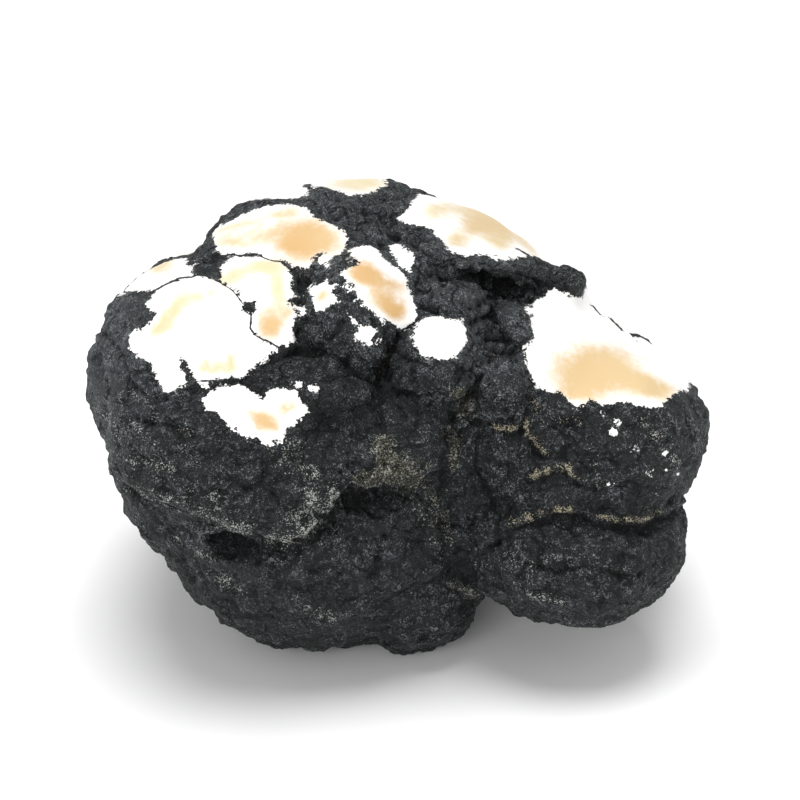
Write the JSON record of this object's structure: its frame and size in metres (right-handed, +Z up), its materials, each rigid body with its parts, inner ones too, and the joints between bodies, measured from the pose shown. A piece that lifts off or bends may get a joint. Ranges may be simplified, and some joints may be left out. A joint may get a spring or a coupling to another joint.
{
  "type": "howlite nodule",
  "caption": "Lobed howlite nodule with a charcoal grown skin, overhanging ledges, deep creases and white windows ground on its high spots, resting on a small flat spot.",
  "frame": {"origin": "under the middle of the stone's box, on the surface that its flat spot rests on", "axes": "+X to the stone's right as it is usually shown, which is its longest way; +Y to its back; +Z up"},
  "size_m": [0.0888, 0.071, 0.0627],
  "materials": {
    "grown_skin": "rough charcoal skin, with satin white windows where it is ground off"
  },
  "bodies": {
    "root": {"nodule": "grown_skin"}
  },
  "joints": []
}
